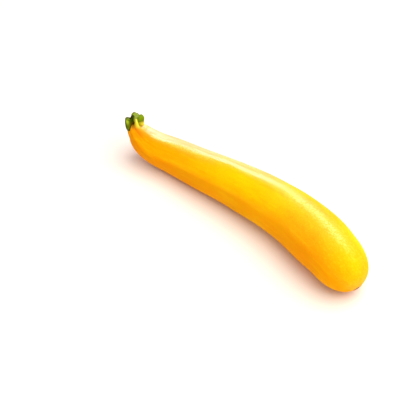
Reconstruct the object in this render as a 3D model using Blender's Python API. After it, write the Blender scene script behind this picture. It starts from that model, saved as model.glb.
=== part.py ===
"""A yellow zucchini as picked: one grown fruit with the cut stub of its stem, lying on its belly.

Both pieces are lofts along one bowed line that runs from the cut face of the stem to the blossom end.
X runs along the fruit toward the blossom end, Z is up, and the origin is on the ground under the middle.
"""

import bmesh
import bpy
import numpy as np
from mathutils import Vector

MM = 0.001

# The line through the middle of the stem and the fruit, in millimetres, by roughly how far along it is.
# The first two places are the cut face and the waist of the stem, and the third is where it meets the fruit.
ALONG = (-105.75, -101, -96.5, -90.5, -83, -74, -62, -40, 0, 40, 66, 88, 106)
LENGTHWAYS = (-94, -93.1, -92, -88, -82, -74, -62, -40, 0, 40, 66, 88, 103.75)
SIDEWAYS = (-1, -2.7, -4.5, -4.25, -3.5, -1, 3, 6.25, 12.25, 13.75, 10.5, 5.5, 4.25)
HEIGHT = (34.75, 30.75, 26.5, 22, 17.75, 14.25, 12.5, 13.5, 15.5, 17.25, 18, 16.75, 6.5)
CUT_FACE, JOINT, TIP = ALONG[0], ALONG[2], ALONG[-1]

# The fruit at the same places: its mean radius in millimetres, and how far its ribs stand out, as a share of it.
RADIUS = (0.6, 1.3, 5.3, 8.25, 10.25, 11.5, 12.5, 13.75, 16.25, 18, 19, 17.5, 18.75)
RIB_SHARE = (0, 0.02, 0.12, 0.12, 0.10, 0.09, 0.08, 0.06, 0.045, 0.035, 0.03, 0.02, 0.01)
CROWN_TOP = -103.25
CAP_START = 84
CAP_POWER = 1.9
SCAR_RADIUS = 3.2 * MM
SCAR_RISE = 0.5 * MM

# Five ribs, a little closer together on the first one's side. The first runs along the top, leans toward the near
# side at the stem, and rises there as a narrow crest into the stem's front groove. That crest is in millimetres.
RIBS = 5
FIRST_RIB = (128, 124, 106, 101, 100, 99, 96, 92.5, 89, 84, 80, 79, 80)
CREST = (0.6, 4.4, 1.8, 0.4, 0, 0, 0, 0, 0, 0, 0, 0, 0)
CREST_WIDTH = np.radians(20)
RIB_ROUNDING = 0.2
RIB_CROWDING = 0.2
SIDES = 60
TURNS = np.radians(97 + np.arange(SIDES) * 360 / SIDES)

# The stem: its radius over the lobes by height above the joint in millimetres, and how lobed it is there.
STEM_ABOVE = (-2.5, -0.4, 0.6, 1.6, 3.2, 6, 9)
STEM_RADIUS = (3.4, 4.0, 5.9, 6.6, 6.9, 6.7, 6.9)
STEM_LOBED = (0.1, 0.3, 0.7, 0.9, 1, 1, 0.95)
ROOT = JOINT + 2.5
CORE = 0.41
# The near lobe, the far one, two joined ones behind and the low front edge: turn from the fruit's crest and
# half-width in degrees, reach as a share of the full radius, and how much lower the cut is there, in millimetres.
LOBES = (
    (86, 23, 1.08, 0),
    (-62, 36, 0.96, -2.2),
    (184, 28, 0.74, 0.8),
    (230, 30, 0.86, 1.4),
    (6, 28, 0.62, 2.6),
)
# The near lobe ends lower than the rest, and a cleft on its inner side parts it from the core.
NEAR_SIDE = np.radians(94)
NEAR_WIDTH = np.radians(48)
NEAR_DROP = 3.6
CLEFT_DEPTH = 1.6
CLEFT_AT = 3.5
CLEFT_WIDTH = 0.5
# The rounded rim and the cut face: millimetres below the cut, and the share of the radius left.
RIM = ((1.2, 0.96), (0.4, 0.86), (0, 0.68), (0, 0.5), (0, 0.3))
TOE_SLANT = 1.3
LONG_TOE_SIDE = np.radians(218)
CUT_HOLLOW = 1
CUT_SLOPE = 0.42
CUT_LOW_SIDE = np.radians(95)
GAP = 0.3

SKIN = ((0.93, 0.47, 0.008), 0.32)
GREEN = ((0.16, 0.30, 0.02), 0.55)


def through(values, where):
    """The smooth curve through hand-set values at the places ALONG, read at other places."""
    at = np.array(ALONG, float)
    values = np.array(values, float)
    slope = np.gradient(values, at)
    piece = np.clip(np.searchsorted(at, where, side="right") - 1, 0, len(at) - 2)
    step = at[piece + 1] - at[piece]
    t = (where - at[piece]) / step
    start = (1 + 2 * t) * (1 - t) ** 2 * values[piece] + t * (1 - t) ** 2 * step * slope[piece]
    end = t**2 * (3 - 2 * t) * values[piece + 1] - t**2 * (1 - t) * step * slope[piece + 1]
    return start + end


def off_first_rib(places):
    """The turn from the first rib to each point of each ring."""
    return TURNS[None] - np.radians(through(FIRST_RIB, places))[:, None]


def ridge(places, rounding):
    """1 on each of the five ribs and 0 halfway between, by place and turn, with sharp ribs if the rounding is small."""
    turn = off_first_rib(places)
    turn = turn + RIB_CROWDING * np.sin(turn)
    top = np.hypot(1, rounding)
    return (top - np.hypot(np.sin(RIBS / 2 * turn), rounding)) / (top - rounding)


def bump(turn, middle, width):
    """A rounded bump round the section: 1 at its middle, fading over its half-width on either side."""
    off = (turn - middle + np.pi) % (2 * np.pi) - np.pi
    return np.exp(-((off / width) ** 2) / 2)


def spine(places):
    """Centre, sideways, upward and forward direction at each place. The directions turn with the line, untwisted."""
    fine = np.linspace(ALONG[0], ALONG[-1], 1200)
    line = np.stack([through(row, fine) for row in (LENGTHWAYS, SIDEWAYS, HEIGHT)], axis=1)
    forward = np.gradient(line, axis=0)
    forward /= np.linalg.norm(forward, axis=1)[:, None]
    side = np.empty_like(line)
    middle = len(fine) // 2
    level = np.cross((0, 0, 1), forward[middle])
    for order in (range(middle, len(fine)), range(middle, -1, -1)):
        last = level
        for k in order:
            last = last - last.dot(forward[k]) * forward[k]
            last = last / np.linalg.norm(last)
            side[k] = last
    fields = (line, side, np.cross(forward, side), forward)
    return [np.stack([np.interp(places, fine, row) for row in field.T], axis=1) for field in fields]


def rings_round(places, radius, push=0.0):
    """One ring of points round the spine at each place, each point pushed forward by its own amount."""
    centre, side, up, forward = spine(places)
    outward = np.cos(TURNS)[None, :, None] * side[:, None] + np.sin(TURNS)[None, :, None] * up[:, None]
    push = np.broadcast_to(push, radius.shape)
    return centre[:, None] + outward * radius[..., None] + forward[:, None] * push[..., None]


# The yellow fruit


def fruit_rings():
    """Rings from the crown that reaches up between the stem's lobes, down the neck and belly, to the scar."""
    crown = np.linspace(CROWN_TOP, JOINT, 9, endpoint=False)
    neck = np.linspace(JOINT, -60, 17, endpoint=False)
    belly = np.linspace(-60, CAP_START, 30, endpoint=False)
    round_end = CAP_START + (TIP - CAP_START) * np.sin(np.linspace(0, 0.44 * np.pi, 13))
    places = np.concatenate([crown, neck, belly, round_end])
    closing = np.clip((places - CAP_START) / (TIP - CAP_START), 0, 1)
    mean = through(RADIUS, places) * (1 - closing**CAP_POWER) ** 0.5
    relief = through(RIB_SHARE, places)[:, None] * (ridge(places, RIB_ROUNDING) - 0.45)
    crest = through(CREST, places)[:, None] * bump(off_first_rib(places), 0, CREST_WIDTH)
    rings = rings_round(places, mean[:, None] * (1 + relief) + crest)
    rings[..., 2] = np.maximum(rings[..., 2], 0)
    return np.concatenate([rings, scar_rings(rings[-1])]) * MM


def scar_rings(last):
    """The round mark that the blossom leaves: a low button with a dimple in its middle."""
    centre = last.mean(axis=0)
    forward = spine(np.array([TIP - 0.1]))[3][0]
    spoke = last - centre
    spoke /= np.linalg.norm(spoke, axis=1)[:, None]
    profile = ((1.0, 0.35), (0.85, 0.75), (0.6, 0.8), (0.3, 0.45))
    return np.array([
        centre + (forward * SCAR_RISE * rise + spoke * SCAR_RADIUS * share) / MM
        for share, rise in profile
    ])


# The green stem


def lobe(turn, middle, width):
    """A rounded lobe with steeper sides than a bump: 1 at its middle, fading fast past its half-width."""
    off = (turn - middle + np.pi) % (2 * np.pi) - np.pi
    return np.exp(-np.abs(off / width) ** 3)


def between(values, low, high):
    """0 below low and 1 above high, with a smooth step between."""
    share = np.clip((values - low) / (high - low), 0, 1)
    return share * share * (3 - 2 * share)


def lobes(turn):
    """The stem's outline as a share of its full radius, and how much lower the cut is there: one for each lobe."""
    outline = np.full_like(turn, CORE)
    lower = NEAR_DROP * lobe(turn, NEAR_SIDE, NEAR_WIDTH)
    for middle, width, reach, drop in LOBES:
        share = lobe(turn, np.radians(middle), np.radians(width))
        outline += (reach - CORE) * share
        lower += drop * share
    return outline, lower


def stem_rings(grow=0.0):
    """Rings from the root in the fruit up the side, over the rim and in across the cut. The toes are slanted."""
    below, share = np.array(RIM).T
    side = np.linspace(ROOT, CUT_FACE + 2.2, 13)
    places = np.concatenate([side, CUT_FACE + below])
    share = np.concatenate([np.ones(len(side)), share])
    inward = np.clip(1 - share / 0.68, 0, 1) * (share < 0.68)
    above = JOINT - places
    turn = off_first_rib(places)
    fade = np.clip((4 - above) / 4, 0, 1) * np.clip((above + 2.5) / 2, 0, 1)
    slanted = above[:, None] + TOE_SLANT * fade[:, None] * np.cos(TURNS - LONG_TOE_SIDE)[None]
    radius = np.interp(slanted, STEM_ABOVE, STEM_RADIUS)
    lobed = np.interp(slanted, STEM_ABOVE, STEM_LOBED)
    outline, lower = lobes(turn)
    radius = radius * (1 + lobed * (outline - 1))
    core = radius.min(axis=1, keepdims=True)
    radius = ((radius - core) * (1 - 0.6 * inward[:, None] ** 1.5) + core) * share[:, None]
    cleft = np.exp(-(((radius - CLEFT_AT) / CLEFT_WIDTH) ** 2)) * between(1 - share, 0.02, 0.25)[:, None]
    cleft = CLEFT_DEPTH * cleft * lobe(turn, NEAR_SIDE, NEAR_WIDTH)
    slope = CUT_SLOPE * radius * np.cos(TURNS - CUT_LOW_SIDE)[None]
    lower = lower * between(radius, CLEFT_AT - 1, CLEFT_AT + 0.4)
    push = np.clip((above - 4) / 5, 0, 1)[:, None] * (slope + lower) + cleft
    push += CUT_HOLLOW * np.sin(np.pi / 2 * inward[:, None]) ** 1.5
    push[0] += grow
    push[-3:] -= grow
    return rings_round(places, radius + grow, push) * MM


# Meshes and objects


def solid_from(name, rings, origin):
    """A closed mesh: neighbouring rings are bridged, and each end is filled round a middle point."""
    mesh = bpy.data.meshes.new(name)
    build = bmesh.new()
    loops = []
    for ring in rings:
        points = [build.verts.new(Vector(point) - origin) for point in ring]
        loops.append([build.edges.new((a, b)) for a, b in zip(points, points[1:] + points[:1])])
    for first, second in zip(loops, loops[1:]):
        bmesh.ops.bridge_loops(build, edges=first + second)
    for loop in (loops[0], loops[-1]):
        end = bmesh.ops.contextual_create(build, geom=loop)["faces"]
        bmesh.ops.poke(build, faces=end)
    bmesh.ops.recalc_face_normals(build, faces=build.faces)
    for face in build.faces:
        face.smooth = True
    build.to_mesh(mesh)
    build.free()
    thing = bpy.data.objects.new(name, mesh)
    thing.location = origin
    bpy.context.scene.collection.objects.link(thing)
    return thing


def paint(thing, finish):
    colour, roughness = finish
    material = bpy.data.materials.new(thing.name + "_finish")
    material.use_nodes = True
    shader = material.node_tree.nodes["Principled BSDF"]
    shader.inputs["Base Color"].default_value = (*colour, 1)
    shader.inputs["Roughness"].default_value = roughness
    shader.inputs["Metallic"].default_value = 0
    thing.data.materials.append(material)


def main():
    for old in list(bpy.data.objects):
        bpy.data.objects.remove(old)
    fruit_shape, stem_shape, seat_shape = fruit_rings(), stem_rings(), stem_rings(GAP)
    points = np.concatenate([fruit_shape.reshape(-1, 3), stem_shape.reshape(-1, 3)])
    middle = (points.min(axis=0) + points.max(axis=0)) / 2 * (1, 1, 0)
    fruit_shape, stem_shape, seat_shape = (shape - middle for shape in (fruit_shape, stem_shape, seat_shape))
    joint = Vector(spine(np.array([JOINT]))[0][0] * MM - middle)

    fruit = solid_from("fruit", fruit_shape, Vector((0, 0, 0)))
    paint(fruit, SKIN)
    stem = solid_from("stem", stem_shape, joint)
    paint(stem, GREEN)

    # The stem's root sits in a pit in the fruit's crown.
    seat = solid_from("stem_seat", seat_shape, joint)
    seat.hide_render = True
    pit = fruit.modifiers.new("pit", "BOOLEAN")
    pit.operation = "DIFFERENCE"
    pit.object = seat


main()
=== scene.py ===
# %% [markdown]
# # A yellow zucchini, dressed
# The solids of the fruit and of its stem come in as a fixed frame, in metres, lying on the ground at z = 0 with
# the stem toward -X. Everything below is shaped on the same bowed line as those solids, so it lands where they are,
# with no fitting.

import math

import bpy
import numpy as np
from mathutils import Matrix, Vector


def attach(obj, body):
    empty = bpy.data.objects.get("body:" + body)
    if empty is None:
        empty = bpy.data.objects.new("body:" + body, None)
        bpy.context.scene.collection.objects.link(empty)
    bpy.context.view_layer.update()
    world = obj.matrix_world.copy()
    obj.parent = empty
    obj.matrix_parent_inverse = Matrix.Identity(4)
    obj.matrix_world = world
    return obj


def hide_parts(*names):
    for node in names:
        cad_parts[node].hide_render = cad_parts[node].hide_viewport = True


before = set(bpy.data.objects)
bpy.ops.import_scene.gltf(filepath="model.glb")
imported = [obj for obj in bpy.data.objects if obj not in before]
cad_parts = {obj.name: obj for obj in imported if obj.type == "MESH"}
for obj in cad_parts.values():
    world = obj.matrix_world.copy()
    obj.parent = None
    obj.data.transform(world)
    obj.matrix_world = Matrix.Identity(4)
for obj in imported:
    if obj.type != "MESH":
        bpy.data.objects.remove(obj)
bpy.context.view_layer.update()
MM = 0.001


print("frame nodes:", sorted(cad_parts))

# %% [markdown]
# ## The line that the fruit grew along
# A zucchini is a tube round a curved line. A curve object with a bevel could carry a tube, but its section could
# only be one shape along the whole line, while the real section changes from a five-sided neck to a round belly.
# So the line is a table of thirteen places, and everything about the section is read at those same places with one
# smooth interpolation.

# %% The table of places
# All in millimetres, from the cut face of the stem to the blossom end: roughly how far along the line each place is,
# and then where it lies lengthways, sideways and up.
ALONG = (-105.75, -101, -96.5, -90.5, -83, -74, -62, -40, 0, 40, 66, 88, 106)
LENGTHWAYS = (-94, -93.1, -92, -88, -82, -74, -62, -40, 0, 40, 66, 88, 103.75)
SIDEWAYS = (-1, -2.7, -4.5, -4.25, -3.5, -1, 3, 6.25, 12.25, 13.75, 10.5, 5.5, 4.25)
HEIGHT = (34.75, 30.75, 26.5, 22, 17.75, 14.25, 12.5, 13.5, 15.5, 17.25, 18, 16.75, 6.5)
CUT_FACE, JOINT, TIP = ALONG[0], ALONG[2], ALONG[-1]


def through(values, where):
    """The smooth curve through values at the places ALONG: cubic pieces that share a slope where they meet."""
    at = np.array(ALONG, float)
    values = np.array(values, float)
    slope = np.gradient(values, at)
    piece = np.clip(np.searchsorted(at, where, side="right") - 1, 0, len(at) - 2)
    step = at[piece + 1] - at[piece]
    t = (where - at[piece]) / step
    start = (1 + 2 * t) * (1 - t) ** 2 * values[piece] + t * (1 - t) ** 2 * step * slope[piece]
    end = t**2 * (3 - 2 * t) * values[piece + 1] - t**2 * (1 - t) * step * slope[piece + 1]
    return start + end


print(len(ALONG), "places; the line bows sideways by, mm:", round(float(np.ptp(SIDEWAYS)), 2))

# %% [markdown]
# A ring round the line needs a direction to count its turns from. If each ring took its own level direction, the
# surface would twist where the line climbs into the stem. So one level direction is taken at the middle and carried
# along the line both ways, and it only tips as the line tips.

# %% Directions along the line
FINE_STEPS = 1200


def spine(places):
    """Centre, sideways, upward and forward direction at each place.

    The sideways direction starts level at the middle of the line. At each next point it loses whatever part of it
    lies along the line there, which turns it with the line and never round it, so the surface isn't twisted.
    """
    fine = np.linspace(CUT_FACE, TIP, FINE_STEPS)
    line = np.stack([through(row, fine) for row in (LENGTHWAYS, SIDEWAYS, HEIGHT)], axis=1)
    forward = np.gradient(line, axis=0)
    forward /= np.linalg.norm(forward, axis=1)[:, None]
    side = np.empty_like(line)
    middle = len(fine) // 2
    level = np.cross((0, 0, 1), forward[middle])
    for order in (range(middle, len(fine)), range(middle, -1, -1)):
        last = level
        for k in order:
            last = last - last.dot(forward[k]) * forward[k]
            last = last / np.linalg.norm(last)
            side[k] = last
    fields = (line, side, np.cross(forward, side), forward)
    return [np.stack([np.interp(places, fine, row) for row in field.T], axis=1) for field in fields]


line_points = spine(np.linspace(CUT_FACE, TIP, FINE_STEPS))[0]
print("line length, mm:", round(float(np.linalg.norm(np.diff(line_points, axis=0), axis=1).sum()), 1))

# %% Rings round the line
FIRST_TURN = 97


def rings_round(places, turns, radius, push=0.0):
    """A grid of points: centre + radius * (cos(turn) * side + sin(turn) * up) + push * forward, in millimetres."""
    centre, side, up, forward = spine(places)
    outward = np.cos(turns)[None, :, None] * side[:, None] + np.sin(turns)[None, :, None] * up[:, None]
    push = np.broadcast_to(push, radius.shape)
    return centre[:, None] + outward * radius[..., None] + forward[:, None] * push[..., None]


def all_round(count):
    """Evenly spaced turns: FIRST_TURN + k * 360 / count degrees. 0 lies toward +Y, and a quarter turn is up."""
    return np.radians(FIRST_TURN + np.arange(count) * 360 / count)


sample_ring = rings_round(np.zeros(1), all_round(60), np.full((1, 60), 10.0))[0]
print("a ring of 10 mm radius at the middle spans, mm:", np.ptp(sample_ring, axis=0).round(1))

# %% [markdown]
# ## Ribs and crest
# Five ribs run down the neck and fade into the belly. Where the stem sits, the first rib stands up as a narrow crest
# between two lobes of the stem, so the yellow seems to climb into the green. Sculpting could make them, but then the
# two pieces wouldn't fit each other. Here both are worked out from the same turn, the angle from that first rib, and
# so their hills and valleys interlock.

# %% Hills round a section
RIBS = 5
RIB_ROUNDING = 0.2
RIB_CROWDING = 0.2
# The first rib's turn at each place, in degrees.
FIRST_RIB = (128, 124, 106, 101, 100, 99, 96, 92.5, 89, 84, 80, 79, 80)


def off_first_rib(places, turns):
    """The turn from the first rib to each point of the grid: turn - the first rib's turn at that place."""
    return turns[None] - np.radians(through(FIRST_RIB, places))[:, None]


def wrapped(turn):
    """The same turn, brought between half a turn back and half a turn on."""
    return (turn + np.pi) % (2 * np.pi) - np.pi


def bump(turn, middle, width):
    """A rounded bump round the section: e to the power of minus half of (distance / width) squared, in degrees."""
    off = wrapped(turn - np.radians(middle))
    return np.exp(-((off / np.radians(width)) ** 2) / 2)


def ridge(turn):
    """1 on a rib and 0 halfway to the next: one minus the size of a sine, with its sharp top rounded off.

    Adding a share of the turn's own sine to the turn first sets the ribs closer together on the first one's side.
    """
    turn = turn + RIB_CROWDING * np.sin(turn)
    top = np.hypot(1, RIB_ROUNDING)
    return (top - np.hypot(np.sin(RIBS / 2 * turn), RIB_ROUNDING)) / (top - RIB_ROUNDING)


mean_ridge = ridge(all_round(360)).mean()
print("the ridge formula averages", round(float(mean_ridge), 2), "round the section")

# %% The fruit's section
# At each place: the mean radius in mm, how strong the ribs are as a share of it, and the crest's height in mm.
RADIUS = (0.6, 1.3, 5.3, 8.25, 10.25, 11.5, 12.5, 13.75, 16.25, 18, 19, 17.5, 18.75)
RIB_SHARE = (0, 0.02, 0.12, 0.12, 0.10, 0.09, 0.08, 0.06, 0.045, 0.035, 0.03, 0.02, 0.01)
CREST = (0.6, 4.4, 1.8, 0.4, 0, 0, 0, 0, 0, 0, 0, 0, 0)
RIB_LEVEL = 0.45
CREST_WIDTH = 20
CROWN_TOP = -103.25
CAP_START = 84
CAP_POWER = 1.9


def fruit_radius(places, turns):
    """Mean radius * (1 + rib share * (ridge - level)) + crest, closed at the blossom end by a rounded cap."""
    turn = off_first_rib(places, turns)
    closing = np.clip((places - CAP_START) / (TIP - CAP_START), 0, 1)
    mean = through(RADIUS, places) * (1 - closing**CAP_POWER) ** 0.5
    ribs = through(RIB_SHARE, places)[:, None] * (ridge(turn) - RIB_LEVEL)
    crest = through(CREST, places)[:, None] * bump(turn, 0, CREST_WIDTH)
    return mean[:, None] * (1 + ribs) + crest


neck_section = fruit_radius(np.array([-74.0]), all_round(220))
print("ribs at the neck stand out, mm:", round(float(np.ptp(neck_section)), 2))

# %% [markdown]
# ## The stem's lobes
# A zucchini's stem is a bundle of rounded lobes that spread into toes where they meet the fruit. Each lobe could be
# a tube of its own, but real ones have no joins. So the section is one outline: a core, plus a rounded bump for each
# lobe, which the two joined ones behind share where they overlap.

# %% The outline of the lobes
CORE = 0.41
# Turn from the first rib, half-width, reach as a share of the full radius, how much lower the cut is, in mm.
LOBES = (
    (86, 23, 1.08, 0),
    (-62, 36, 0.96, -2.2),
    (184, 28, 0.74, 0.8),
    (230, 30, 0.86, 1.4),
    (6, 28, 0.62, 2.6),
)


def lobe(turn, middle, width):
    """A rounded lobe with steeper sides: e to the power of minus (distance / width) cubed, in degrees."""
    off = wrapped(turn - np.radians(middle))
    return np.exp(-np.abs(off / np.radians(width)) ** 3)


def lobes(turn):
    """The outline as a share of the full radius, and how much lower the cut is: a core plus a bump for each lobe."""
    outline = np.full_like(turn, CORE)
    lower = np.zeros_like(turn)
    for middle, width, reach, drop in LOBES:
        share = lobe(turn, middle, width)
        outline += (reach - CORE) * share
        lower += drop * share
    return outline, lower


whole_outline = lobes(all_round(360))[0]
print("the outline runs from", whole_outline.min().round(2), "to", whole_outline.max().round(2))

# %% The stem's section
# At each height over the joint, in mm: the radius over the lobes in mm, and how lobed the stem is there.
STEM_ABOVE = (-2.5, -0.4, 0.6, 1.6, 3.2, 6, 9)
STEM_RADIUS = (3.4, 4.0, 5.9, 6.6, 6.9, 6.7, 6.9)
STEM_LOBED = (0.1, 0.3, 0.7, 0.9, 1, 1, 0.95)
ROOT_DEPTH = 2.5
ROOT = JOINT + ROOT_DEPTH
TOE_HEIGHT = 4
TOE_SLANT = 1.3
LONG_TOE_SIDE = np.radians(218)


def stem_radius(places, turns):
    """Radius over the lobes * (1 + how lobed it is there * (outline - 1)), with the toes longer on one side."""
    above = JOINT - places
    fade = np.clip((TOE_HEIGHT - above) / TOE_HEIGHT, 0, 1) * np.clip((above + ROOT_DEPTH) / 2, 0, 1)
    slanted = above[:, None] + TOE_SLANT * fade[:, None] * np.cos(turns - LONG_TOE_SIDE)[None]
    full = np.interp(slanted, STEM_ABOVE, STEM_RADIUS)
    lobed = np.interp(slanted, STEM_ABOVE, STEM_LOBED)
    return full * (1 + lobed * (lobes(off_first_rib(places, turns))[0] - 1))


waist = stem_radius(np.array([JOINT - 5.0]), all_round(220))
print("the stem reaches out, mm:", waist.min().round(1), "to", waist.max().round(1))

# %% [markdown]
# ## The cut end of the stem
# A knife takes the fruit off the plant in one slanting cut. A flat cap would look sawn, because the cut sinks in as
# it dries and the lobes end at different heights: the near one lower behind a narrow cleft, the far one a little
# proud. So the rings run on over a rounded rim and in across the cut, and each point is pushed along the line by the
# slope of the knife, the height of its lobe, the cleft and the hollow.

# %% The rows of the stem's grid
# The rounded rim: millimetres from the cut face, and the share of the radius left there.
RIM = ((2.2, 1.0), (1.2, 0.96), (0.4, 0.86), (0.0, 0.68))
FACE_SHARE = RIM[-1][1]
LAST_INWARD = 0.985


def between(values, none_at, full_at):
    """0 up to none_at, 1 from full_at on, with a smooth step from one to the other; full_at may be the lower."""
    t = np.clip((values - none_at) / (full_at - none_at), 0, 1)
    return t * t * (3 - 2 * t)


def near(values, middle, width):
    """1 at the middle and fading on either side: e to the power of minus (distance / width) squared."""
    return np.exp(-(((values - middle) / width) ** 2))


def stem_rows(side_rows, rim_rows, face_rows):
    """For each row its place, its share of the radius, and how far in it lies: 0 at the rim, 1 at the middle."""
    side = np.linspace(ROOT, CUT_FACE + RIM[0][0], side_rows)
    over = np.linspace(0, 1, rim_rows + 1)[1:]
    knots = np.linspace(0, 1, len(RIM))
    rim_off = np.interp(over, knots, [off for off, _ in RIM])
    rim_share = np.interp(over, knots, [share for _, share in RIM])
    inward = np.linspace(0, 1, face_rows + 1)[1:] * LAST_INWARD
    place = np.concatenate([side, CUT_FACE + rim_off, np.full(face_rows, float(CUT_FACE))])
    share = np.concatenate([np.ones(side_rows), rim_share, FACE_SHARE * (1 - inward)])
    into = np.concatenate([np.zeros(side_rows + rim_rows), inward])
    return place, share[:, None], into[:, None]


print("the rim takes", RIM[0][0], "mm and leaves", FACE_SHARE, "of the radius to the cut face")

# %% The stem's points
HOLLOW = 1.0
CUT_SLOPE = 0.42
CUT_LOW_SIDE = np.radians(95)
SLOPE_FROM, SLOPE_OVER = 4, 5
NEAR_LOBE_DROP = 3.6
NEAR_LOBE_AT, NEAR_LOBE_WIDTH = 94, 48
CLEFT = 1.6
CLEFT_AT = 3.5
CLEFT_WIDTH = 0.5
LOBES_MELT = 0.6
# Both the melting of the lobes and the hollow grow toward the middle with this power.
INWARD_POWER = 1.5


def stem_grid(rows, turns, radial=0.0, lengthways=0.0):
    """The stem's points: lobed rings up the side, over the rounded rim and in across the sloping, hollow cut.

    Across the cut the lobes melt into the core. The push along the line is slope * radius * cos(turn from the low
    side) + each lobe's own drop, both fading in above SLOPE_FROM, + the cleft + hollow * a power of a sine.
    """
    place, share, into = rows
    above = (JOINT - place)[:, None]
    low_side = np.cos(turns - CUT_LOW_SIDE)[None]
    turn = off_first_rib(place, turns)
    whole = stem_radius(place, turns)
    core = whole.min(axis=1, keepdims=True)
    rounder = (whole - core) * (1 - LOBES_MELT * into**INWARD_POWER) + core
    radius = rounder * share + radial
    near_lobe = lobe(turn, NEAR_LOBE_AT, NEAR_LOBE_WIDTH)
    lower = (lobes(turn)[1] + NEAR_LOBE_DROP * near_lobe) * between(radius, CLEFT_AT - 1, CLEFT_AT + 0.4)
    cleft = CLEFT * near_lobe * near(radius, CLEFT_AT, CLEFT_WIDTH) * between(1 - share, 0.02, 0.25)
    sloping = np.clip((above - SLOPE_FROM) / SLOPE_OVER, 0, 1)
    push = sloping * (CUT_SLOPE * radius * low_side + lower) + cleft
    push = push + HOLLOW * np.sin(np.pi / 2 * into) ** INWARD_POWER + lengthways
    return rings_round(place, turns, radius, push)


plain_stem = stem_grid(stem_rows(13, 3, 2), all_round(60))
print("the plain stem spans, mm:", np.ptp(plain_stem.reshape(-1, 3), axis=0).round(1))

# %% [markdown]
# ## Putting both pieces where the solids are
# The solids were centred on the ground by the box round both of them. The same box, worked out here from the plain
# surfaces before any fine relief, gives the same shift. It is kept as a number and taken off every point, so each
# object stays at the origin, unturned and unscaled.

# %% The shift to the frame
NECK_END = -60
CROWDED_END = 0.44 * np.pi


def fruit_places(crown, neck, belly, cap):
    """The places of the fruit's rings, closer together at the crown and toward the pole of the rounded end."""
    return np.concatenate([
        np.linspace(CROWN_TOP, JOINT, crown, endpoint=False),
        np.linspace(JOINT, NECK_END, neck, endpoint=False),
        np.linspace(NECK_END, CAP_START, belly, endpoint=False),
        CAP_START + (TIP - CAP_START) * np.sin(np.linspace(0, CROWDED_END, cap)),
    ])


def on_ground(grid):
    """What would reach below the ground is pressed flat on it."""
    grid[..., 2] = np.maximum(grid[..., 2], 0)
    return grid


coarse = all_round(60)
plain_places = fruit_places(9, 17, 30, 13)
plain = np.concatenate([
    on_ground(rings_round(plain_places, coarse, fruit_radius(plain_places, coarse))).reshape(-1, 3),
    plain_stem.reshape(-1, 3),
    spine(np.array([TIP]))[0],
])
MIDDLE = (plain.min(axis=0) + plain.max(axis=0)) / 2 * (1, 1, 0)
print("shift to the frame, mm:", MIDDLE.round(2))

# %% [markdown]
# ## From a grid of points to a closed mesh
# A grid that goes round a tube has rows along it and columns round it. Each four neighbours make one face, the last
# column joins the first, and a fan of triangles round a middle point closes each end. Values that a material needs,
# such as how near a point lies to the seam between two pieces, ride along as attributes of the points.

# %% Closed mesh from a grid
def faces_of(rows, columns):
    """Face corners: the four-sided ones row by row, and the two fans, all turning so that they face outward."""
    index = np.arange(rows * columns).reshape(rows, columns)
    beside = np.roll(index, -1, axis=1)
    quads = np.stack([index[:-1], beside[:-1], beside[1:], index[1:]], axis=-1).reshape(-1, 4)
    first, last = rows * columns, rows * columns + 1
    start = np.stack([np.full(columns, first), beside[0], index[0]], axis=-1)
    end = np.stack([np.full(columns, last), index[-1], beside[-1]], axis=-1)
    return quads.tolist() + start.tolist() + end.tolist()


def with_poles(grid):
    """The grid's points in one list, with the middle of its first and of its last row at the end."""
    flat = grid.reshape(-1, *grid.shape[2:])
    return np.concatenate([flat, [grid[0].mean(axis=0)], [grid[-1].mean(axis=0)]])


def closed_piece(name, grid, fields):
    """A mesh object from a grid in millimetres, with one point attribute for each field in the dictionary."""
    mesh = bpy.data.meshes.new(name)
    points = (with_poles(grid) - MIDDLE) * MM
    mesh.from_pydata(points.tolist(), [], faces_of(*grid.shape[:2]))
    mesh.polygons.foreach_set("use_smooth", np.ones(len(mesh.polygons), bool))
    for field, values in fields.items():
        kind, key = ("FLOAT_VECTOR", "vector") if values.ndim == 3 else ("FLOAT", "value")
        attribute = mesh.attributes.new(field, kind, "POINT")
        attribute.data.foreach_set(key, with_poles(values).astype(np.float32).ravel())
    mesh.update()
    piece = bpy.data.objects.new(name, mesh)
    bpy.context.scene.collection.objects.link(piece)
    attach(piece, "root")
    print(name, "has", len(mesh.polygons), "faces and", len(fields), "attributes")
    return piece


print("a grid of 3 rows and 8 columns makes", len(faces_of(3, 8)), "faces")

# %% [markdown]
# ## Unevenness
# Nothing that grew is quite smooth. A random texture would do, but its lumps would be as long as they are wide, while
# a fruit's dents and lines run with its growth. A few waves added together, each with its own number of crests round
# the section and its own wavelength along it, give long soft dents or fine lengthwise lines from one formula.

# %% Waves over a surface
WAVES_HEIGHT = 1.4


def waves(places, turn, seed, crests, lengths, count):
    """The sum of cosines of (crests * turn + 2 pi * place / length + a random start), mostly within -1 to 1."""
    draw = np.random.default_rng(seed)
    total = np.zeros_like(turn)
    for _ in range(count):
        around = draw.integers(crests[0], crests[1] + 1)
        length = draw.uniform(*lengths) * draw.choice((-1, 1))
        total += np.cos(around * turn + (2 * np.pi * places / length)[:, None] + draw.uniform(0, 2 * np.pi))
    return total / np.sqrt(count) / WAVES_HEIGHT


trial_places = np.linspace(-60, 60, 40)
trial_turns = np.tile(all_round(60), (len(trial_places), 1))
trial = waves(trial_places, trial_turns, seed=1, crests=(1, 4), lengths=(28, 90), count=14)
print("a trial of the waves runs from", trial.min().round(2), "to", trial.max().round(2))

# %% [markdown]
# ## The fruit
# The skin follows the solid's section. On top of it come long shallow dents, fine lines that run from the neck down
# the sides, a moat where the skin meets the toes of the stem, with a low lip behind it, and creases beside the crest
# and the lobes. They are all parts of a millimetre, but light that grazes the skin shows each of them, which a
# painted colour couldn't do.

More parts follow.
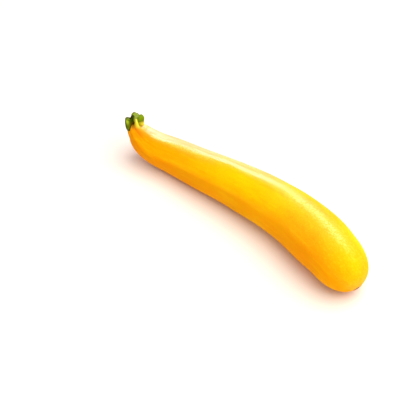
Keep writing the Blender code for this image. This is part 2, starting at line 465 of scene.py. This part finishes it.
# %% The fruit's grid
AROUND = 220
turns = all_round(AROUND)
places = fruit_places(44, 120, 150, 66)
turn = off_first_rib(places, turns)
bare = fruit_radius(places, turns)
turned = np.broadcast_to(turns, bare.shape)
placed = np.broadcast_to(places[:, None], bare.shape)
clearance = bare - np.where(placed < ROOT, stem_radius(places, turns), 0)
print("the fruit's grid has", len(places), "rows and", AROUND, "columns")

# %% Dents, lines, moat and creases
DENT_DEPTH = 0.16
LINE_DEPTH, NECK_LINE_DEPTH = 0.02, 0.035
MOAT_DEPTH, MOAT_WIDTH = 0.30, 0.5
LIP_HEIGHT, LIP_AT, LIP_WIDTH = 0.14, 1.3, 0.7
CREASE_DEPTH, CREASE_WIDTH = 0.28, 7
CREASES_AT = (26, -27, 128, -115)
SMOOTH_TIP = 9

dents = DENT_DEPTH * waves(places, turn, seed=3, crests=(1, 4), lengths=(28, 90), count=14)
line_depth = LINE_DEPTH + NECK_LINE_DEPTH * between(placed, 30, -70)
lines = line_depth * waves(places, turn, seed=8, crests=(9, 34), lengths=(150, 600), count=16)
moat = MOAT_DEPTH * near(clearance, 0, MOAT_WIDTH)
lip = LIP_HEIGHT * near(clearance, LIP_AT, LIP_WIDTH) * between(placed, -86, -95)
creased = sum(bump(turn, at, CREASE_WIDTH) for at in CREASES_AT)
creases = CREASE_DEPTH * creased * between(placed, -84, -93)
before_tip = between(placed, TIP, TIP - SMOOTH_TIP)
skin = rings_round(places, turns, bare + before_tip * (dents + lines) - moat + lip - creases)
print("deepest dent and highest swelling, mm:", dents.min().round(2), dents.max().round(2))

# %% [markdown]
# The blossom leaves a small round button at the far end, with a dimple and a wrinkled rim. It isn't a piece of its
# own: the skin's last ring runs on inward over the button's profile, so there is no seam to hide.

# %% The blossom's mark
SCAR_RADIUS = 3.2
SCAR_PROFILE = ((1.0, 0.0), (0.97, 0.22), (0.85, 0.40), (0.6, 0.42), (0.3, 0.25), (0.0, 0.15))
SCAR_INNER = 0.04
WRINKLES = 0.05


def scar_grid(last, rows):
    """Rings in from the last one: middle + rise * forward + share * spoke, with small wrinkles near the rim."""
    inward = np.linspace(1, SCAR_INNER, rows)
    centre = last.mean(axis=0)
    forward = spine(np.array([TIP - 0.1]))[3][0]
    spoke = last - centre
    shares, rises = zip(*SCAR_PROFILE[::-1])
    rise = np.interp(inward, shares, rises)[:, None]
    spread = np.broadcast_to(turns, (rows, AROUND))
    wrinkled = waves(inward, spread, seed=5, crests=(9, 17), lengths=(5, 9), count=5)
    rise = rise + WRINKLES * near(inward, 0.8, 0.15)[:, None] * wrinkled
    return centre + rise[..., None] * forward + inward[:, None, None] * spoke


scar = scar_grid(skin[-1], 20)[1:]
fruit_points = on_ground(np.concatenate([skin, scar]))
print("the mark has", len(scar), "rings")

# %% [markdown]
# ## What the skin's material has to know
# Where the skin is orange, cream, dull or brown is tied to the fruit, and not to its place in space; the cream is
# painted highlight, and part of the orange and brown is painted shade. So each point carries where it would be if the
# fruit were unbent, for streaks that run true along the bow, and soft masks: stripes at a fixed turn, faded in and
# out along the fruit. The alternative, a painted picture on a UV map, would need a picture file.

# %% The unbent fruit
unbent = np.stack([placed, bare * np.cos(turned), bare * np.sin(turned)], axis=-1)
scar_unbent = np.repeat(unbent[-1:], len(scar), axis=0)
scar_unbent[..., 1:] *= np.linspace(0.95, SCAR_INNER, len(scar))[:, None, None]
fruit_fields = {"unbent": np.concatenate([unbent, scar_unbent]) * MM}
print("the unbent fruit is, mm:", round(float(np.ptp(unbent[..., 0])), 1), "long")

# %% The skin's masks
# The side that the painted light faces, as a turn round the fruit.
PAINTED_LIGHT_SIDE = np.radians(60)
SEAM_FADE = 1.1
off_tip = np.linalg.norm(skin - skin[-1].mean(axis=0), axis=-1)
# A bump's middle and width are in degrees, and between fades from none to full in millimetres.
skin_masks = {
    "seam": np.exp(-np.clip(clearance, 0, None) / SEAM_FADE) * (placed < ROOT),
    # Which way a point faces round the fruit, read by the painted shade and painted light of the ground colour.
    "sunny": np.cos(turned - PAINTED_LIGHT_SIDE),
    "upper": np.sin(turned),
    "far": np.cos(turned),
    # Where the painted highlight on the far edge of the neck lies.
    "rim": bump(turned, 54, 15),
    # A band of painted highlight along the upper ridge on the belly, and a fainter one along the neck.
    "bloom": bump(turned, 85, 5.5) * between(placed, 28, 52) * between(placed, 93, 76)
    + 0.8 * bump(turned, 90, 8) * between(placed, -5, -55) * between(placed, -92, -82),
    "crest": bump(turn, -6, 16) * between(placed, -86, -99),
    "tip_of_crest": bump(turn, -6, 20) * between(placed, -96, -100),
    # Where the painted highlight right of the crest lies.
    "shoulder": bump(turn, -34, 20) * between(placed, -82, -93),
    # The groove between the crest and the near lobe, where painted shade goes.
    "gap": bump(turn, 42, 13) * between(placed, -95, -98.5),
    "crease": creased * between(placed, -80, -93),
    "around_scar": between(off_tip, 9, 4),
    "withered": bump(turned, 122, 24) * between(off_tip, 7.2, 4.8),
    "scar": between(off_tip, SCAR_RADIUS * 1.7, SCAR_RADIUS * 1.05),
}
full_on_scar = {"around_scar", "scar"}
for mask, values in skin_masks.items():
    on_scar = np.full((len(scar), AROUND), float(mask in full_on_scar))
    fruit_fields[mask] = np.concatenate([values, on_scar])

fruit = closed_piece("fruit_skin", fruit_points, fruit_fields)
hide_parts("fruit")

# %% [markdown]
# ## The stem
# The stub is bark over fibres, cut with a knife. Its lobes come from the same formula as the solid's. Fine ridges and
# small knobs run up each lobe. On the cut, the ends of the fibres stand a little proud in a ring round a softer
# middle, and the knife has left faint lines. A bump texture would show none of this in the outline, and the lobes are
# so small that their outline is most of what is seen.

# %% The bark's relief
STEM_AROUND = 288
FIBRE_DEPTH = 0.06
KNOB_DEPTH = 0.09
stem_turns = all_round(STEM_AROUND)
rows = stem_rows(120, 16, 44)
place, share, into = rows
stem_turn = off_first_rib(place, stem_turns)
outline = lobes(stem_turn)[0]
on_side = into == 0
over_joint = between(JOINT - place, -0.5, 1.5)[:, None]
fibres = waves(place, stem_turn, seed=21, crests=(34, 74), lengths=(30, 120), count=18)
knobs = waves(place, stem_turn, seed=4, crests=(3, 9), lengths=(4, 12), count=10)
radial = on_side * over_joint * (FIBRE_DEPTH * fibres + KNOB_DEPTH * knobs) * share
print("bark relief, mm:", radial.min().round(2), "to", radial.max().round(2))

# %% The cut's relief
BUNDLES = 14
BUNDLE_HEIGHT = 0.12
RING_AT, RING_WIDTH = 0.42, 0.12
KNIFE_LINES = 34
KNIFE_DEPTH = 0.03
RIM_UNEVEN = 0.10

ring = near(into, RING_AT, RING_WIDTH)
wander = np.sin(3 * stem_turn)
bundles = 0.5 + 0.5 * np.cos(BUNDLES * stem_turn + 1.3 * wander)
across = into * np.cos(stem_turn)
knife = KNIFE_DEPTH * np.sin(KNIFE_LINES * across + 2 * wander * (1 - into)) * between(into, 0.05, 0.2)
on_cut = -(BUNDLE_HEIGHT * ring * bundles + knife) * (into > 0)
uneven_rim = waves(place * 0, stem_turn, seed=6, crests=(4, 19), lengths=(50, 90), count=9)
on_rim = RIM_UNEVEN * between(1 - share, 0.0, 0.1) * (1 - into) * uneven_rim
stem_points = stem_grid(rows, stem_turns, radial, on_cut + on_rim)
print("the cut face's relief, mm:", on_cut.min().round(2), "to", on_cut.max().round(2))

# %% [markdown]
# The stem's masks are made like the skin's: stripes at a turn from the first rib, one for each thing that its bark
# shows. Its rows run from the root up to the cut, the other way round from the fruit's, so they are put in the
# fruit's order before the mesh is made, and the faces point outward.

# %% The stem's masks
NOMINAL_RADIUS = 7
STEM_SEAM_FADE = 0.8
stem_full = stem_radius(place, stem_turns)
in_fruit = np.where((place > CROWN_TOP)[:, None], fruit_radius(place, stem_turns), 0)
near_lobe = lobe(stem_turn, NEAR_LOBE_AT, NEAR_LOBE_WIDTH)
unrolled = NOMINAL_RADIUS * outline * share
stem_placed = np.broadcast_to(place[:, None], outline.shape)


def up_stem(width, *angles):
    """Soft stripes up the stem, each at its own turn from the first rib, in degrees."""
    return sum(bump(stem_turn, at, width) for at in angles)


stem_fields = {
    "unbent": np.stack([stem_placed, unrolled * np.cos(stem_turns), unrolled * np.sin(stem_turns)], axis=-1) * MM,
    "height": (JOINT - stem_placed) / (JOINT - CUT_FACE),
    "into": np.broadcast_to(into, outline.shape),
    "seam": np.exp(-np.clip(stem_full - in_fruit, 0, None) / STEM_SEAM_FADE) * on_side,
    "fibre": fibres * on_side,
    "bundle": ring * bundles,
    "cleft": near_lobe * near(stem_full * share, CLEFT_AT, 0.8) * ~on_side,
    "near_lobe": near_lobe * between(stem_full * share, 3.0, 3.8),
    # The lobe backs, between flanks of painted shade.
    "middle": up_stem(6, 73, 108, 190, 222),
    # Where the painted gloss lies.
    "glossy": up_stem(15, -40, -80),
    "far": lobe(stem_turn, -52, 46),
    "toe": up_stem(24, -58),
    "hollow": up_stem(16, 36),
    "front": up_stem(16, 3),
}
stem = closed_piece("stem_stub", stem_points[::-1], {name: values[::-1] for name, values in stem_fields.items()})
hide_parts("stem")
print("stem height over the joint, mm:", JOINT - CUT_FACE)

# %% [markdown]
# ## Shader maths that reads like maths
# A material's pattern is a small calculation for each point of the surface. Math nodes can do it, but a page of them
# is hard to read. A small class that stands for a node's output, and adds a Math node for each plus or times, lets
# the same pattern be written as one line.

# %% Sockets in expressions
class Wire:
    """A node's output. Each operator adds one Math node and gives that node's output."""

    def __init__(self, finish, socket):
        self.finish = finish
        self.socket = socket

    def math(self, operation, *values, clamp=False):
        settings = {"operation": operation, "use_clamp": clamp}
        return self.finish.node("ShaderNodeMath", settings, dict(enumerate(values)))

    def __add__(self, other):
        return self.math("ADD", self, other)

    def __radd__(self, other):
        return self.math("ADD", other, self)

    def __sub__(self, other):
        return self.math("SUBTRACT", self, other)

    def __rsub__(self, other):
        return self.math("SUBTRACT", other, self)

    def __mul__(self, other):
        return self.math("MULTIPLY", self, other)

    def __rmul__(self, other):
        return self.math("MULTIPLY", other, self)

    def __truediv__(self, other):
        return self.math("DIVIDE", self, other)

    def __rtruediv__(self, other):
        return self.math("DIVIDE", other, self)

    def clamped(self):
        """The same value, held between 0 and 1."""
        return self.math("ADD", self, 0.0, clamp=True)

    def step(self, none_at, full_at):
        """0 up to none_at, 1 from full_at on, with a smooth step between; full_at may be the lower."""
        settings = {"interpolation_type": "SMOOTHSTEP"}
        low, high = min(none_at, full_at), max(none_at, full_at)
        at_low, at_high = (0.0, 1.0) if full_at > none_at else (1.0, 0.0)
        return self.finish.node("ShaderNodeMapRange", settings, {0: self, 1: low, 2: high, 3: at_low, 4: at_high})


print("a wire knows", [name for name in vars(Wire) if name.endswith(("add__", "sub__", "mul__", "div__"))])

# %% [markdown]
# A finish is one material with its Principled shader. Whatever is the same all over, such as how the wax bends light,
# is set straight on the shader's socket. Whatever changes over the surface comes in through a wire. The last method
# builds a colour as a painter does, in layers: a ground, and over it each next colour where its mask lets it show.

# %% A material and its nodes
class Finish:
    """A material with its Principled shader, constant values set on the shader's own sockets."""

    def __init__(self, name, **constants):
        self.material = bpy.data.materials.new(name)
        self.material.use_nodes = True
        self.tree = self.material.node_tree
        self.shader = self.tree.nodes["Principled BSDF"]
        for socket, value in constants.items():
            self.shader.inputs[socket.replace("_", " ")].default_value = value

    def node(self, kind, settings=None, values=None, output=0):
        """Any node: its settings first, a ramp's stops among them, then the values or links of its sockets."""
        made = self.tree.nodes.new(kind)
        for key, value in (settings or {}).items():
            if key == "stops":
                self.set_stops(made.color_ramp, value)
            else:
                setattr(made, key, value)
        for key, value in (values or {}).items():
            self.feed(made.inputs[key], value)
        return Wire(self, made.outputs[output])

    def set_stops(self, ramp, stops):
        """A colour ramp's stops, each a position and a colour."""
        while len(ramp.elements) < len(stops):
            ramp.elements.new(0.5)
        for element, (position, colour) in zip(ramp.elements, stops):
            element.position = position
            element.color = (*colour, 1)

    def feed(self, socket, value):
        """A link where the value is a wire, and otherwise the value itself."""
        if isinstance(value, Wire):
            self.tree.links.new(value.socket, socket)
        else:
            socket.default_value = value

    def shade(self, **links):
        """Links into the Principled shader's own sockets."""
        for socket, value in links.items():
            self.feed(self.shader.inputs[socket.replace("_", " ")], value)
        print(self.material.name, "has", len(self.tree.nodes), "nodes")

    def field(self, name, output="Fac"):
        """A point attribute of the piece."""
        return self.node("ShaderNodeAttribute", {"attribute_name": name}, output=output)

    def stretched(self, vector, amounts):
        """The same places, each direction multiplied: less than 1 draws a pattern out along it."""
        return self.node("ShaderNodeVectorMath", {"operation": "MULTIPLY"}, {0: vector, 1: amounts})

    def noise(self, vector, scale, detail=2.0, roughness=0.5):
        """Soft random lumps, about one over the scale of a metre across."""
        values = {"Vector": vector, "Scale": scale, "Detail": detail, "Roughness": roughness}
        return self.node("ShaderNodeTexNoise", None, values)

    def dots(self, vector, scale, randomness=1.0):
        """The distance to the nearest of many scattered dots."""
        values = {"Vector": vector, "Scale": scale, "Randomness": randomness}
        return self.node("ShaderNodeTexVoronoi", None, values, output="Distance")

    def bumps(self, height, strength, distance):
        """Normals tilted by the slope of a height; the distance is in metres."""
        values = {"Height": height, "Strength": strength, "Distance": distance}
        return self.node("ShaderNodeBump", None, values)

    def layers(self, ground, *layers):
        """The colour ground, with each layer's colour laid over what is there by the layer's amount, in order."""
        for amount, colour in layers:
            under, over = ((*c, 1) if isinstance(c, tuple) else c for c in (ground, colour))
            ground = self.node("ShaderNodeMix", {"data_type": "RGBA"}, {0: amount, 6: under, 7: over}, output=2)
        return ground


print("a finish can", ", ".join(name for name in vars(Finish) if not name.startswith("_")))

# %% [markdown]
# ## The skin's finish
# Zucchini skin is a thin translucent layer with a wax on it. A little light goes in and comes out beside where it
# went in, so subsurface scattering is on, and red travels furthest. The specular tint is warm, because the wax and
# the skin below it colour what they reflect: with a white one, the highlight looks like plastic.

# %% The skin's shader
skin_finish = Finish(
    "zucchini_skin",
    Subsurface_Weight=0.18,
    Subsurface_Radius=(1.0, 0.42, 0.08),
    Subsurface_Scale=0.0025,
    IOR=1.34,
    Specular_Tint=(1.0, 0.20, 0.02, 1),
)
FRUIT_START, FRUIT_LENGTH = -0.1, 0.206
spot = skin_finish.field("unbent", "Vector")
along = (skin_finish.node("ShaderNodeSeparateXYZ", None, {0: spot}) - FRUIT_START) / FRUIT_LENGTH
sunny = skin_finish.field("sunny")
upper = skin_finish.field("upper")
far = skin_finish.field("far")
print("specular tint:", list(skin_finish.shader.inputs["Specular Tint"].default_value)[:3])

# %% [markdown]
# The ground colour goes along the fruit from an orange neck through a golden belly to amber and lemon at the blossom
# end, which a colour ramp on the unbent length gives. Painted shade and painted light go round it: painted shade
# makes one side deeper, with a soft edge low on the flank, and painted light makes the other side more yellow near
# the end and the far side lemon there.

# %% The ground colour
NECK_GOLD = (0.95, 0.275, 0.0003)
BELLY_GOLD = (0.96, 0.520, 0.0004)
AMBER = (0.96, 0.355, 0.0004)
LEMON = (0.97, 0.500, 0.0005)
# Painted shade and painted light laid round the fruit:
PAINTED_SHADE_AWAY = (0.80, 0.290, 0.0002)
PAINTED_SHADE_LOW_FLANK = (0.72, 0.265, 0.0002)
PAINTED_LIGHT_YELLOW = (0.96, 0.620, 0.0008)
PAINTED_LIGHT_LEMON = (0.97, 0.74, 0.0002)

NECK_TO_END = ((0.02, NECK_GOLD), (0.45, BELLY_GOLD), (0.62, BELLY_GOLD), (0.84, AMBER), (1.0, LEMON))
lengthwise = skin_finish.node("ShaderNodeValToRGB", {"stops": NECK_TO_END}, {0: along})
ground = skin_finish.layers(
    lengthwise,
    # Painted shade away from the light and low on the flank, painted light on the lit side and far side near the end.
    (sunny.step(0.80, -0.60) * 0.50, PAINTED_SHADE_AWAY),
    (sunny.step(0.04, -0.14) * (0.45 - 0.22 * along.step(0.42, 0.62)), PAINTED_SHADE_LOW_FLANK),
    (sunny.step(0.40, 1.0) * along.step(0.45, 0.85) * 0.45, PAINTED_LIGHT_YELLOW),
    (far.step(0.30, 0.90) * along.step(0.72, 0.95) * 0.6, PAINTED_LIGHT_LEMON),
)
print("the ground has", len(NECK_TO_END), "stops along the fruit")

# %% [markdown]
# No skin is one even colour. Broad clouds and finer mottles of orange, pale streaks drawn out along the growth,
# scattered pale specks no bigger than a pinhead, and pores: each is one noise at its own scale, laid on faintly. One
# strong noise instead of five faint ones would look like paint.

# %% Clouds, streaks, specks and pores
CLOUD = (0.93, 0.260, 0.0002)
MOTTLE = (0.91, 0.250, 0.0002)
STREAK = (0.98, 0.60, 0.002)
SPECK = (0.98, 0.64, 0.01)
PORE = (0.90, 0.250, 0.0002)
# Pale grains of painted highlight.
PAINTED_HIGHLIGHT_GRAINS = (1.0, 0.85, 0.04)
PORE_SCALE = 1000.0

clouds = skin_finish.noise(skin_finish.stretched(spot, (0.5, 1, 1)), 70.0, 3.0, 0.55)
mottles = skin_finish.noise(skin_finish.stretched(spot, (0.4, 1, 1)), 330.0, 3.0, 0.65)
streaks = skin_finish.noise(skin_finish.stretched(spot, (0.07, 1, 1)), 420.0, 3.0, 0.6)
specks = skin_finish.dots(skin_finish.stretched(spot, (0.75, 1, 1)), 620.0)
patches = skin_finish.noise(spot, 240.0, 1.0)
pores = skin_finish.noise(spot, PORE_SCALE, 2.0, 0.6)
toward_end = along.step(0.50, 0.80)
marked = skin_finish.layers(
    ground,
    (clouds.step(0.35, 0.75) * 0.35, CLOUD),
    (mottles.step(0.48, 0.72) * 0.18, MOTTLE),
    (streaks.step(0.50, 0.74) * 0.30, STREAK),
    (specks.step(0.34, 0.16) * patches.step(0.42, 0.62) * 0.14, SPECK),
    (pores.step(0.52, 0.68) * 0.20, PORE),
    # Pale grains of painted highlight on the upper side toward the blossom end.
    (pores.step(0.48, 0.34) * (toward_end * upper.step(0.2, 0.9)) * 0.14, PAINTED_HIGHLIGHT_GRAINS),
)
print("the pores' lumps are about, mm:", round(1 / PORE_SCALE / MM, 2))

# %% [markdown]
# Some places have a colour of their own, and some carry painted light and shade. The crest is a lighter yellow with
# an olive tip. Painted shade darkens the creases and the groove beside the crest, and the seam is brown, partly in
# its own colour and partly with painted shade. Painted highlights make the shoulder and the far edge of the neck
# cream, and a pale painted highlight lies along the upper ridge, broken up by the pores. At the blossom end are the
# tan scar, rusty specks round it and one withered spot. Each reads its own mask, made with the mesh, so it stays in
# its place on the skin however the fruit is turned.

# %% Crest, seam, painted light and shade, and scar
CREST_YELLOW = (0.98, 0.58, 0.010)
CREST_OLIVE = (0.66, 0.64, 0.040)
CREASE_PAINTED_SHADE = (0.72, 0.170, 0.002)
SEAM_OLIVE = (0.80, 0.52, 0.02)
SEAM_BROWN_AND_SHADE = (0.15, 0.050, 0.001)
GAP_PAINTED_SHADE = (0.22, 0.070, 0.0010)
SHOULDER_PAINTED_HIGHLIGHT = (0.97, 0.60, 0.20)
RIM_PAINTED_HIGHLIGHT = (1.0, 0.72, 0.30)
PAINTED_HIGHLIGHT_CREAM = (1.0, 0.86, 0.22)
SCAR_TAN = (0.42, 0.20, 0.045)
SPECK_RUST = (0.40, 0.120, 0.004)
WITHERED_BROWN = (0.14, 0.045, 0.002)

crest = skin_finish.field("crest")
seam = skin_finish.field("seam")
colour = skin_finish.layers(
    marked,
    (crest * 0.55, CREST_YELLOW),
    # Painted shade in the creases.
    (skin_finish.field("crease") * 0.55, CREASE_PAINTED_SHADE),
    (seam.step(0.10, 0.50) * 0.55, SEAM_OLIVE),
    # Brown at the seam with the stem, partly its own colour and partly painted shade.
    (seam.step(0.50, 0.90) * (1 - 0.8 * crest), SEAM_BROWN_AND_SHADE),
    (skin_finish.field("scar") * 0.75, SCAR_TAN),
    # Painted highlight on the shoulder beside the crest.
    (skin_finish.field("shoulder") * 0.6, SHOULDER_PAINTED_HIGHLIGHT),
    (skin_finish.field("tip_of_crest") * 0.85, CREST_OLIVE),
    # Painted highlight on the far edge of the neck.
    (skin_finish.field("rim") * along.step(0.58, 0.25) * 0.42, RIM_PAINTED_HIGHLIGHT),
    # Painted highlight along the upper ridge, broken up by the pores.
    (skin_finish.field("bloom") * (0.25 + 0.75 * pores.step(0.58, 0.40)) * 0.6, PAINTED_HIGHLIGHT_CREAM),
    # Painted shade in the groove beside the crest.
    (skin_finish.field("gap") * 0.85, GAP_PAINTED_SHADE),
    (skin_finish.field("around_scar") * pores.step(0.52, 0.62) * 0.7, SPECK_RUST),
    ((skin_finish.field("withered") + 1.2 * (pores - 0.5)).step(0.38, 0.72) * 0.88, WITHERED_BROWN),
)
print("layers so far:", sum(node.bl_idname == "ShaderNodeMix" for node in skin_finish.tree.nodes))

# %% [markdown]
# The wax shines on the upper side of the neck and is rubbed dull underneath, with a soft edge between. Toward the
# blossom end it is thinner and grainy, so the long highlight breaks up into grains there, and on the far side it
# fades. One roughness all over would draw the highlight as one clean stripe, as on glazed clay. Pores, streaks and
# patches also make a very low relief.

# %% Wax and fine relief
SHINY = 0.20
dull_below = upper.step(0.66, 0.34) * 0.75
dull_behind = far.step(0.25, 0.80) * along.step(0.45, 0.75) * 0.8
grainy_end = toward_end * (0.22 + 0.25 * pores.step(0.42, 0.58))
skin_finish.shade(
    Base_Color=colour,
    Roughness=(SHINY + 0.12 * clouds + dull_below + dull_behind + grainy_end).clamped(),
    Normal=skin_finish.bumps(0.9 * pores + 0.6 * streaks + patches, 0.4, 0.00025),
)
fruit.data.materials.append(skin_finish.material)

# %% [markdown]
# ## The stem's finish
# The bark is striped: each lobe has a light yellow-green back, partly its own colour and partly painted light, with a
# stripe of painted highlight, between flanks of painted shade, and the grooves between them go brown, partly with
# painted shade, where they run into the fruit. Stripes of painted gloss lie near the top. On the far lobe the green
# gives way halfway down to a band of painted shade, and its toe is as yellow as the skin. Stripes from a plain wave
# texture would run straight across the lobes, so each stripe reads the mask of its own lobe. Bark hardly reflects,
# so its index of refraction is set low.

# %% The stem's shader
stem_finish = Finish(
    "stem_bark",
    IOR=1.12,
    Specular_Tint=(0.6, 1.0, 0.2, 1),
)
height = stem_finish.field("height")
mottle = stem_finish.noise(stem_finish.field("unbent", "Vector"), 420.0, 3.0, 0.6)
ragged = mottle - 0.5
fibre = stem_finish.field("fibre")
middle = stem_finish.field("middle")
far_lobe = stem_finish.field("far")
on_near_lobe = stem_finish.field("near_lobe")
print("specular tint:", list(stem_finish.shader.inputs["Specular Tint"].default_value)[:3])

# %% The bark's colour
FLANK_PAINTED_SHADE = (0.030, 0.044, 0.0004)
LOBE_BACK = (0.090, 0.130, 0.0020)
PAINTED_HIGHLIGHT_STRIPE = (0.36, 0.46, 0.020)
OLIVE_PAINTED_SHADE = (0.070, 0.064, 0.003)
PAINTED_GLOSS_GREEN = (0.22, 0.32, 0.0010)
PALE_FIBRE = (0.20, 0.28, 0.010)
DARK_FIBRE = (0.030, 0.040, 0.0008)
HOLLOW_BROWN_AND_SHADE = (0.170, 0.075, 0.001)
FRONT_EDGE = (0.30, 0.34, 0.040)
NEAR_LOBE_TOP = (0.080, 0.110, 0.003)
TOE_YELLOW = (0.80, 0.72, 0.04)
JOINT_BROWN_AND_SHADE = (0.060, 0.022, 0.0005)

# The lobe backs are lighter, partly in their own colour and partly painted light, and carry painted highlight
# stripes.
lobe_back = (middle + 0.3 * ragged).step(0.02, 0.55)
painted_highlight_stripe = (middle + 0.6 * ragged).step(0.45, 0.95) * height.step(0.15, 0.40)
# A band of painted shade on the lower half of the far lobe.
painted_shade_band = far_lobe * (height + 0.3 * ragged).step(0.72, 0.40)
# Painted gloss near the top of the stem.
painted_gloss_top = stem_finish.field("glossy") * (height + 0.3 * ragged).step(0.50, 0.80)
yellow_toe = stem_finish.field("toe") * (height + 0.2 * ragged).step(0.68, 0.42)
bark = stem_finish.layers(
    # The ground is the dark flanks: painted shade.
    FLANK_PAINTED_SHADE,
    (lobe_back, LOBE_BACK),
    (painted_highlight_stripe * 0.85, PAINTED_HIGHLIGHT_STRIPE),
    (painted_shade_band * 0.8, OLIVE_PAINTED_SHADE),
    (painted_gloss_top * 0.8, PAINTED_GLOSS_GREEN),
    (fibre.step(0.3, 1.3) * lobe_back * 0.30, PALE_FIBRE),
    (fibre.step(-0.4, -1.3) * 0.45, DARK_FIBRE),
    # Brown low in the hollow beside the crest, partly its own colour and partly painted shade.
    (stem_finish.field("hollow") * height.step(0.62, 0.25) * 0.9, HOLLOW_BROWN_AND_SHADE),
    (stem_finish.field("front") * height.step(0.50, 0.80) * 0.8, FRONT_EDGE),
    (on_near_lobe * height.step(0.62, 0.80) * 0.7, NEAR_LOBE_TOP),
    (yellow_toe * 0.95, TOE_YELLOW),
    # Brown where the bark meets the fruit, partly its own colour and partly painted shade.
    (stem_finish.field("seam").step(0.30, 0.85) * (0.95 - 0.90 * far_lobe), JOINT_BROWN_AND_SHADE),
)
print("bark layers:", sum(node.bl_idname == "ShaderNodeMix" for node in stem_finish.tree.nodes))

# %% [markdown]
# The cut end is paler than the bark. From the rim in it goes from a dark skin through green flesh, with a ring of
# lighter fibre ends, to a dull middle. The edge of the bark round it is ragged, because the mottle is added to the
# mask before the step. Painted shade darkens the cleft beside the near lobe all the way down.

# %% The cut end's colour
FLESH_DARK = (0.14, 0.175, 0.003)
FLESH_LIGHT = (0.24, 0.29, 0.014)
FLESH_INNER = (0.22, 0.28, 0.025)
FIBRE_ENDS = (0.32, 0.40, 0.070)
DULL_MIDDLE = (0.18, 0.24, 0.030)
CLEFT_PAINTED_SHADE = (0.030, 0.022, 0.0004)

inward = stem_finish.field("into")
flesh = stem_finish.layers(
    FLESH_DARK,
    (mottle.step(0.35, 0.7), FLESH_LIGHT),
    (inward.step(0.30, 0.62), FLESH_INNER),
    (stem_finish.field("bundle") * 0.6, FIBRE_ENDS),
    (inward.step(0.82, 1.0) * 0.5, DULL_MIDDLE),
)
cut_mask = (inward + 0.16 * ragged).step(0.10, 0.26) * on_near_lobe.step(0.6, 0.2)
stem_finish.shade(
    Base_Color=stem_finish.layers(
        bark,
        (cut_mask, flesh),
        # Painted shade in the cleft.
        (stem_finish.field("cleft").step(0.10, 0.60), CLEFT_PAINTED_SHADE),
    ),
    Roughness=0.50 + 0.15 * mottle,
    Normal=stem_finish.bumps(mottle + 0.3 * fibre, 0.4, 0.0002),
)
stem.data.materials.append(stem_finish.material)

# %% [markdown]
# ## Floor and light
# A studio curves its backdrop up behind, but this camera looks down, so a flat floor fills the picture. It has a warm
# tint, which shows only in the soft shadow, because the lit floor is brighter than white. Two softboxes behind the
# zucchini draw the long pale highlight. If they also lit the floor and the skin, they would wash out the yellow, so
# their diffuse light is off and only their reflection shows. A large soft box above, a little to the right, gives
# the light and shade, and a weak one in front opens the shadows.

# %% The floor
FLOOR_SIZE = 6.0
BELOW_GROUND = 0.00005
bpy.ops.mesh.primitive_plane_add(size=FLOOR_SIZE, location=(0, 0, -BELOW_GROUND))
floor = bpy.context.object
floor.name = "floor"
floor_finish = Finish("floor_white", Base_Color=(0.88, 0.78, 0.68, 1), Roughness=0.9)
floor.data.materials.append(floor_finish.material)
print("floor, m:", FLOOR_SIZE)


# %% A softbox
def from_middle(azimuth, elevation, distance):
    """A point at a distance from the middle: azimuth 0 lies toward -Y and 90 toward +X, and elevation 90 is up."""
    azimuth, elevation = math.radians(azimuth), math.radians(elevation)
    return distance * Vector((
        math.sin(azimuth) * math.cos(elevation),
        -math.cos(azimuth) * math.cos(elevation),
        math.sin(elevation),
    ))


def softbox(name, azimuth, elevation, distance, size, power, colour=(1, 1, 1)):
    """A rectangle of light that faces the object's middle; its size is its width and height in metres."""
    lamp = bpy.data.lights.new(name, "AREA")
    lamp.shape = "RECTANGLE"
    lamp.size, lamp.size_y = size
    lamp.energy = power
    lamp.color = colour
    light = bpy.data.objects.new(name, lamp)
    light.location = from_middle(azimuth, elevation, distance)
    light.rotation_euler = light.location.to_track_quat("Z", "Y").to_euler()
    light.visible_camera = False
    bpy.context.scene.collection.objects.link(light)
    print(name, power, "W from", azimuth, "degrees round and", elevation, "up")
    return light


# %% The lights
COOL = (0.80, 0.70, 1.0)
behind = softbox("softbox_behind", 214, 34, 1.2, (0.60, 1.20), 37, COOL)
beside = softbox("softbox_beside", 194, 60, 1.2, (0.50, 0.45), 34, COOL)
for reflected_only in (behind, beside):
    reflected_only.visible_diffuse = False
softbox("softbox_above", 125, 68, 1.3, (1.6, 1.6), 29)
softbox("fill_in_front", 30, 16, 1.3, (1.6, 0.6), 3.2)

WORLD_STRENGTH = 0.42
world = bpy.data.worlds.new("studio")
world.use_nodes = True
world.node_tree.nodes["Background"].inputs["Color"].default_value = (1, 1, 1, 1)
world.node_tree.nodes["Background"].inputs["Strength"].default_value = WORLD_STRENGTH
bpy.context.scene.world = world
bpy.context.scene.view_settings.view_transform = "Standard"

# %% [markdown]
# ## The camera
# It looks down on the zucchini from the front right, with a long lens, as in product pictures. It is turned a little
# off the middle, so that the zucchini sits to the right of the frame's middle. Turning it does nearly the same as
# shifting the lens, and leaves the shift at zero.

# %% Placing the camera
AZIMUTH, ELEVATION = 43, 48
DISTANCE = 0.639
LENS, SENSOR = 85.0, 36
FRAME_PIXELS = 400
OFF_CENTRE = (33.4, -3.4)
MIDDLE_HEIGHT = 0.018

pixels_away = FRAME_PIXELS * LENS / SENSOR
target = Vector((0, 0, MIDDLE_HEIGHT)) - Vector(MIDDLE * MM)
camera = bpy.data.objects.new("camera", bpy.data.cameras.new("camera"))
camera.data.lens = LENS
facing = Matrix.Rotation(math.radians(AZIMUTH), 4, "Z") @ Matrix.Rotation(math.radians(90 - ELEVATION), 4, "X")
turn_aside = Matrix.Rotation(math.atan(OFF_CENTRE[0] / pixels_away), 4, "Y")
turn_up = Matrix.Rotation(math.atan(OFF_CENTRE[1] / pixels_away), 4, "X")
standing = Matrix.Translation(target + from_middle(AZIMUTH, ELEVATION, DISTANCE))
camera.matrix_world = standing @ facing @ turn_aside @ turn_up
bpy.context.scene.collection.objects.link(camera)
bpy.context.scene.camera = camera
print("camera at, m:", [round(v, 3) for v in camera.matrix_world.translation])

# %% [markdown]
